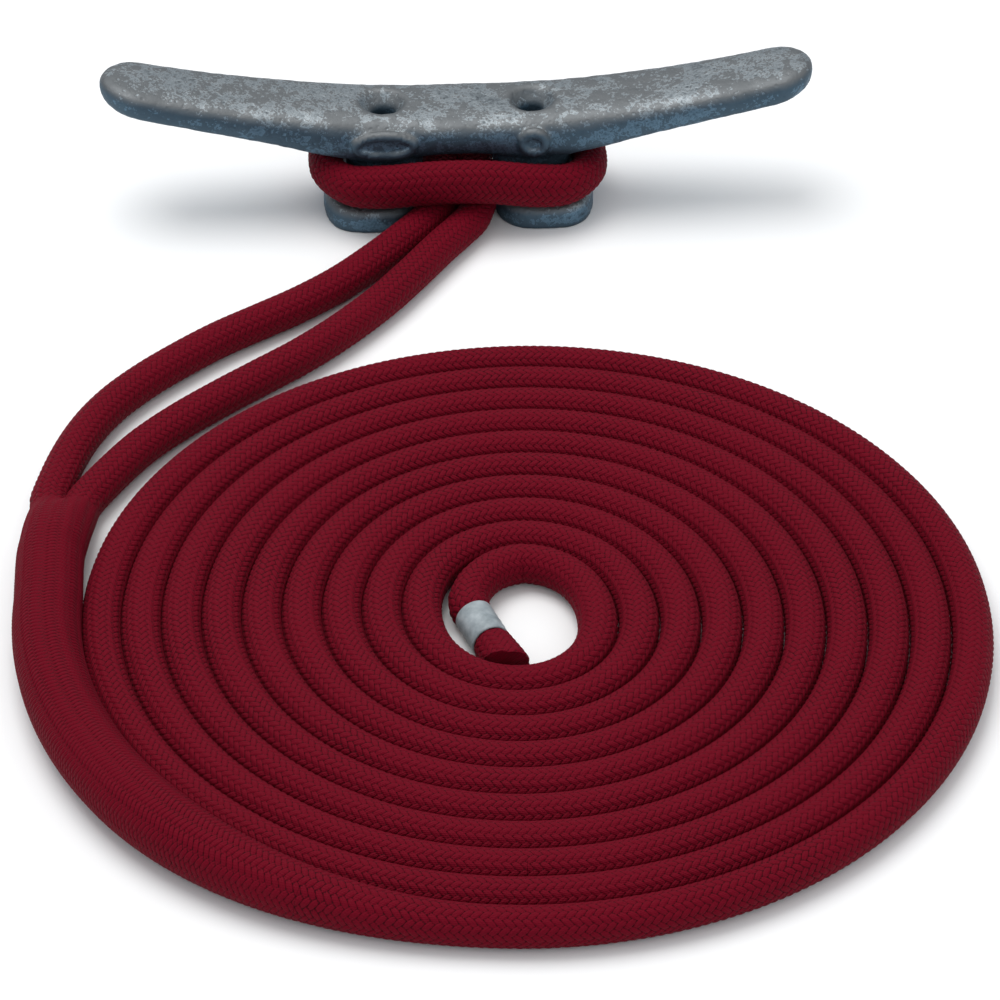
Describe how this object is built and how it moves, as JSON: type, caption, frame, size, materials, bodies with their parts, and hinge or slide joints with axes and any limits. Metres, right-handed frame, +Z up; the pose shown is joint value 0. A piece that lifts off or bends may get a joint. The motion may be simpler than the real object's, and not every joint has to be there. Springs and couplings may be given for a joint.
{
  "type": "coiled dock line",
  "caption": "Double-braid dock line in a flat spiral coil, its spliced eye hitched on an open-base galvanised horn cleat, bitter end sleeved.",
  "frame": {"origin": "middle of the whole footprint, on the surface that the cleat's feet and the rope lie on", "axes": "+Z up from that surface, +X along the cleat's horns, +Y from the coil towards the cleat"},
  "size_m": [0.3115, 0.4304, 0.055],
  "materials": {
    "galvanised_iron": "hot-dip galvanised sand casting, dull and speckled",
    "rope_cover": "burgundy solution-dyed nylon braid",
    "rope_core": "undyed nylon braid",
    "shrink_sleeve": "grey heat-shrunk polyolefin"
  },
  "bodies": {
    "root": {"dock_cleat": "galvanised_iron", "eye_cover": "rope_cover", "eye_core": "rope_core", "splice_cover": "rope_cover", "buried_tail": "rope_core", "coiled_line": "rope_cover", "tail_cover": "rope_cover", "tail_core": "rope_core", "end_sleeve": "shrink_sleeve"}
  },
  "joints": []
}
